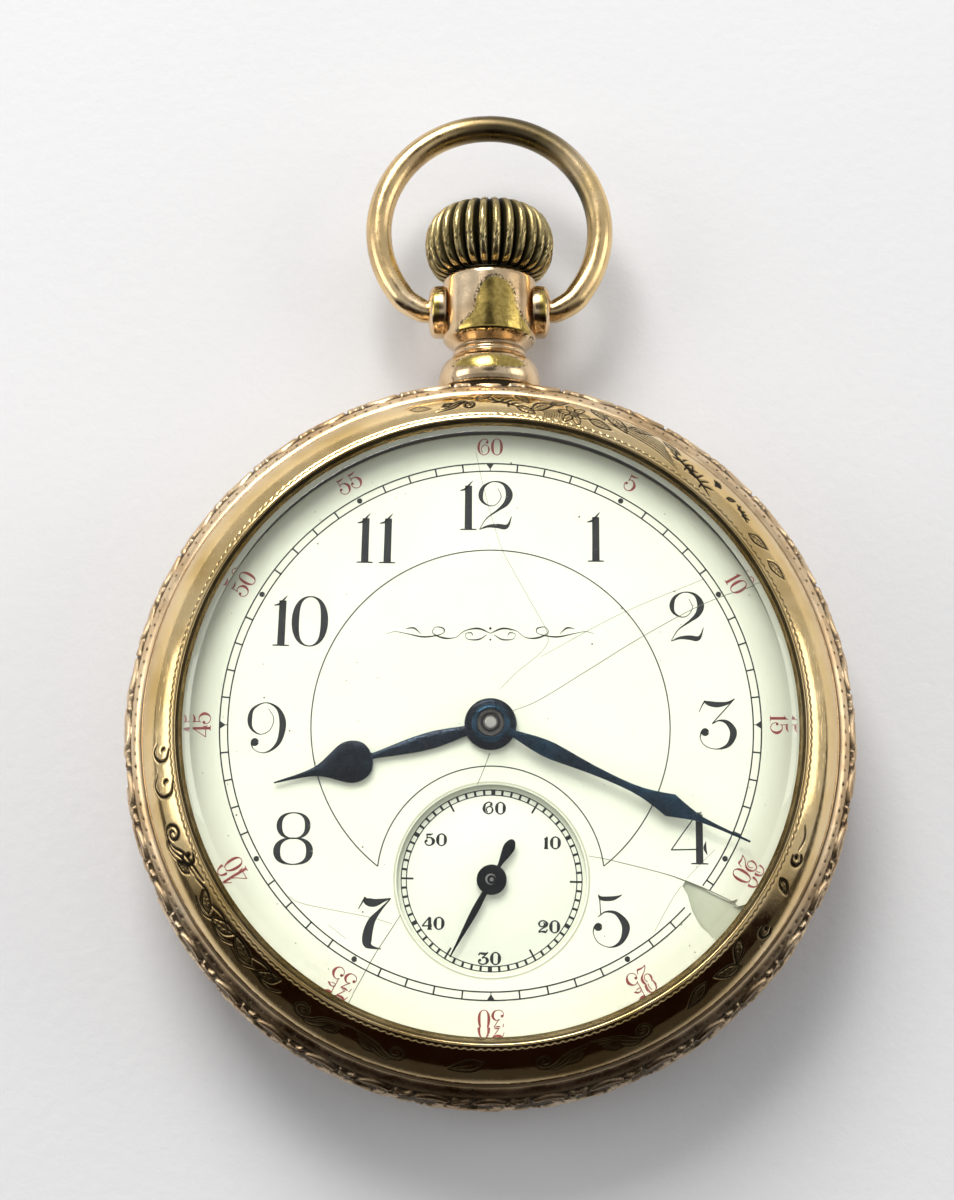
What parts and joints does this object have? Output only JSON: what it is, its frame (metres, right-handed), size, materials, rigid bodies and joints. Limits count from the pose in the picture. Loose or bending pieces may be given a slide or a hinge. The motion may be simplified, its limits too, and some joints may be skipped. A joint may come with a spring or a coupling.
{
  "type": "pocket watch",
  "caption": "Open-face pocket watch with a screwed round case, bow, winding crown, glass, enamel dial with a small-seconds dial, and a geared going train and escapement.",
  "frame": {"origin": "The centre of the flat rest face of the back cover, on the axis of the dial.", "axes": "+Z points out of the dial, +Y to 12 o'clock along the pendant, and +X to 3 o'clock. The watch lies on its back."},
  "size_m": [0.056, 0.0793, 0.0145],
  "materials": {
    "case_gold": "worn rose-gold-filled, polished with engraving",
    "bow_gold": "polished rose gold",
    "crown_brass": "darkened brass with bright ribs",
    "glass": "clear mineral glass with a bevelled edge",
    "enamel": "glossy fired enamel with printed figures",
    "nickel_plate": "nickel with fine damascened stripes",
    "brass_wheel": "gilt brass with a fine grain",
    "steel": "polished steel",
    "blued_steel": "heat-blued steel"
  },
  "bodies": {
    "watch_case": {"case_center": "case_gold", "pendant": "case_gold", "pendant_sleeve": "steel", "pillar_plate": "nickel_plate", "barrel_bridge": "nickel_plate", "train_bridge": "nickel_plate", "balance_cock": "nickel_plate", "pallet_bridge": "nickel_plate", "dial": "enamel", "seconds_dial": "enamel", "hairspring": "blued_steel", "click_spring": "steel", "case_screw_1": "blued_steel", "case_screw_2": "blued_steel", "barrel_bridge_screw_1": "blued_steel", "barrel_bridge_screw_2": "blued_steel", "barrel_bridge_screw_3": "blued_steel", "train_bridge_screw_1": "blued_steel", "train_bridge_screw_2": "blued_steel", "train_bridge_screw_3": "blued_steel", "balance_cock_screw_1": "blued_steel"},
    "bezel": {"bezel": "case_gold", "crystal": "glass"},
    "back_cover": {"back_cover": "case_gold"},
    "bow": {"bow": "bow_gold"},
    "winding_pinion": {"winding_pinion": "steel"},
    "crown": {"crown": "crown_brass", "winding_stem": "steel"},
    "crown_wheel": {"crown_wheel": "steel"},
    "ratchet": {"ratchet_wheel": "steel", "barrel_arbor": "steel"},
    "click": {"click": "steel"},
    "setting_lever": {"setting_lever": "steel"},
    "barrel": {"barrel": "brass_wheel", "barrel_cover": "brass_wheel", "mainspring": "steel"},
    "minute_hand": {"minute_hand": "blued_steel", "cannon_pinion": "steel", "center_arbor": "steel", "center_wheel": "brass_wheel"},
    "hour_hand": {"hour_hand": "blued_steel", "hour_wheel": "brass_wheel"},
    "minute_wheel": {"minute_wheel": "brass_wheel"},
    "setting_wheel": {"setting_wheel": "steel"},
    "third_wheel": {"third_wheel": "brass_wheel", "third_pinion": "steel"},
    "seconds_hand": {"seconds_hand": "blued_steel", "fourth_wheel": "brass_wheel", "fourth_pinion": "steel"},
    "escape_wheel": {"escape_wheel": "brass_wheel", "escape_pinion": "steel"},
    "pallet_fork": {"pallet_fork": "steel", "pallet_arbor": "steel"},
    "balance": {"balance_wheel": "brass_wheel", "balance_staff": "steel"},
    "regulator": {"regulator": "steel"}
  },
  "joints": [
    {"name": "seconds_turn", "type": "hinge", "parent": "watch_case", "child": "seconds_hand", "pos_m": [0, -0.01135, 0], "axis": [0, 0, -1], "continuous": true},
    {"name": "minute_turn", "type": "hinge", "parent": "watch_case", "child": "minute_hand", "pos_m": [0, 0, 0], "axis": [0, 0, -1], "continuous": true},
    {"name": "hour_turn", "type": "hinge", "parent": "watch_case", "child": "hour_hand", "pos_m": [0, 0, 0], "axis": [0, 0, -1], "continuous": true},
    {"name": "minute_wheel_turn", "type": "hinge", "parent": "watch_case", "child": "minute_wheel", "pos_m": [0.0024, 0.00416, 0], "axis": [0, 0, -1], "continuous": true},
    {"name": "setting_wheel_turn", "type": "hinge", "parent": "watch_case", "child": "setting_wheel", "pos_m": [0.00411, 0.01053, 0], "axis": [0, 0, -1], "continuous": true},
    {"name": "third_turn", "type": "hinge", "parent": "watch_case", "child": "third_wheel", "pos_m": [-0.00347, -0.00631, 0], "axis": [0, 0, -1], "continuous": true},
    {"name": "escape_turn", "type": "hinge", "parent": "watch_case", "child": "escape_wheel", "pos_m": [0.00569, -0.01035, 0], "axis": [0, 0, -1], "continuous": true},
    {"name": "barrel_turn", "type": "hinge", "parent": "watch_case", "child": "barrel", "pos_m": [-0.0056, 0.00838, 0], "axis": [0, 0, -1], "continuous": true},
    {"name": "pallet_rock", "type": "hinge", "parent": "watch_case", "child": "pallet_fork", "pos_m": [0.00866, -0.00658, 0], "axis": [0, 0, 1], "range_deg": [-5, 5]},
    {"name": "balance_swing", "type": "hinge", "parent": "watch_case", "child": "balance", "pos_m": [0.0126, -0.0016, 0], "axis": [0, 0, 1], "range_deg": [-270, 270], "stiffness_Nm_per_rad": 0.000004},
    {"name": "regulator_move", "type": "hinge", "parent": "watch_case", "child": "regulator", "pos_m": [0.0126, -0.0016, 0], "axis": [0, 0, 1], "range_deg": [-15, 15]},
    {"name": "crown_turn", "type": "hinge", "parent": "watch_case", "child": "winding_pinion", "pos_m": [0, 0.0177, 0.0061], "axis": [0, 1, 0], "continuous": true},
    {"name": "crown_pull", "type": "slide", "parent": "winding_pinion", "child": "crown", "axis": [0, 1, 0], "range_m": [0, 0.001]},
    {"name": "crown_wheel_turn", "type": "hinge", "parent": "watch_case", "child": "crown_wheel", "pos_m": [0, 0.0149, 0], "axis": [0, 0, 1], "continuous": true},
    {"name": "ratchet_turn", "type": "hinge", "parent": "watch_case", "child": "ratchet", "pos_m": [-0.0056, 0.00838, 0], "axis": [0, 0, 1], "continuous": true},
    {"name": "click_rock", "type": "hinge", "parent": "watch_case", "child": "click", "pos_m": [-0.0122, 0.0084, 0], "axis": [0, 0, 1], "range_deg": [0, 10], "stiffness_Nm_per_rad": 0.0002, "springref_deg": -11.46},
    {"name": "setting_lever_tilt", "type": "hinge", "parent": "watch_case", "child": "setting_lever", "pos_m": [-0.0039, 0.019, 0], "axis": [0, 0, 1], "range_deg": [0, 14]},
    {"name": "bow_swing", "type": "hinge", "parent": "watch_case", "child": "bow", "pos_m": [0, 0.0344, 0.0061], "axis": [1, 0, 0], "range_deg": [-90, 90]},
    {"name": "bezel_lift", "type": "slide", "parent": "watch_case", "child": "bezel", "axis": [0, 0, 1], "range_m": [0, 0.01]},
    {"name": "back_lift", "type": "slide", "parent": "watch_case", "child": "back_cover", "axis": [0, 0, 1], "range_m": [-0.01, 0]}
  ],
  "couplings": [
    {"joint": "third_turn", "follows": "seconds_turn", "ratio": -0.13333},
    {"joint": "minute_turn", "follows": "seconds_turn", "ratio": 0.016667},
    {"joint": "escape_turn", "follows": "seconds_turn", "ratio": -10},
    {"joint": "barrel_turn", "follows": "seconds_turn", "ratio": -0.0027778},
    {"joint": "minute_wheel_turn", "follows": "seconds_turn", "ratio": -0.0055556},
    {"joint": "hour_turn", "follows": "seconds_turn", "ratio": 0.0013889},
    {"joint": "setting_wheel_turn", "follows": "seconds_turn", "ratio": 0.0066667},
    {"joint": "crown_wheel_turn", "follows": "crown_turn", "ratio": 0.7},
    {"joint": "ratchet_turn", "follows": "crown_turn", "ratio": -0.6125},
    {"joint": "setting_lever_tilt", "follows": "crown_pull", "rad_per_m": 238.1}
  ]
}
